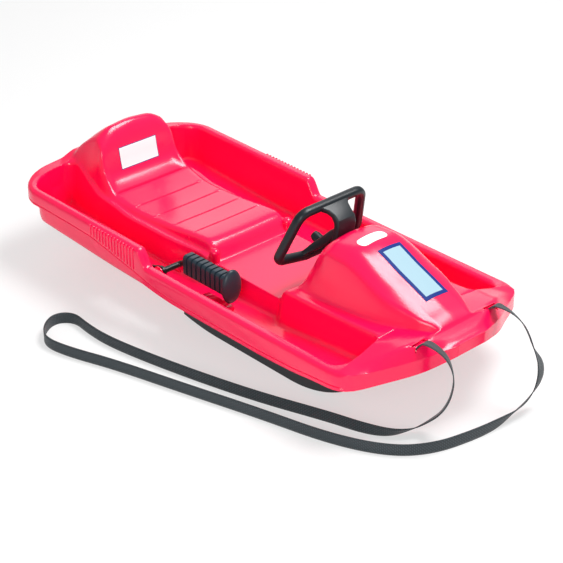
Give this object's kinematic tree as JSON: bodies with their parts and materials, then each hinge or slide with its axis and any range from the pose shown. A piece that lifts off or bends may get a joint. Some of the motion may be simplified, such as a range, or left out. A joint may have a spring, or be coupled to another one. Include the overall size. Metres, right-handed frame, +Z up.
{
  "type": "steering sled",
  "caption": "Moulded bob sled with backrest seat, foot channels, steering wheel that turns runners below the hull, hand brake with claw, and a tow strap.",
  "frame": {"origin": "on the ground, under the middle of the sled's length and width", "axes": "+X forward to the nose, +Y to the rider's left, +Z up"},
  "size_m": [1.202, 0.6993, 0.3297],
  "materials": {
    "hull_plastic": "hot pink-red glossy polyethylene",
    "dark_plastic": "anthracite satin plastic",
    "bush_plastic": "natural nylon",
    "steel": "zinc-plated steel",
    "webbing": "dark blue-grey woven webbing",
    "label": "blank printed film"
  },
  "bodies": {
    "hull": {"hull": "hull_plastic", "upper_column_bush": "bush_plastic", "lower_column_bush": "bush_plastic", "kingpin": "steel", "kingpin_washers": "steel", "kingpin_nut": "steel", "brake_bush": "bush_plastic", "tow_strap": "webbing", "strap_stops": "dark_plastic", "console_label": "label", "small_label": "label", "backrest_label": "label"},
    "steering": {"steering_wheel": "dark_plastic", "wheel_screw": "steel", "steering_column": "steel", "column_crank": "steel", "crank_pin": "steel", "crank_nut": "steel"},
    "carriage": {"left_runner": "dark_plastic", "right_runner": "dark_plastic", "front_cross_bar": "steel", "rear_cross_bar": "steel", "runner_screws": "steel", "steering_yoke": "steel", "yoke_screws": "steel", "yoke_nuts": "steel"},
    "brake": {"brake_rod": "steel", "brake_grip": "dark_plastic", "brake_claw": "steel", "brake_clip": "steel"}
  },
  "joints": [
    {"name": "steering", "type": "hinge", "parent": "hull", "child": "steering", "pos_m": [0.1455, 0, 0.222], "axis": [0.9397, 0, -0.342], "range_deg": [-20, 20]},
    {"name": "carriage_turn", "type": "hinge", "parent": "hull", "child": "carriage", "pos_m": [0.305, 0, 0.03], "axis": [0, 0, 1], "range_deg": [-13, 13]},
    {"name": "brake_pull", "type": "hinge", "parent": "hull", "child": "brake", "pos_m": [-0.095, -0.18, 0.13], "axis": [0, -1, 0], "range_deg": [0, 70]}
  ],
  "couplings": [
    {"joint": "carriage_turn", "follows": "steering", "ratio": -0.6445}
  ]
}
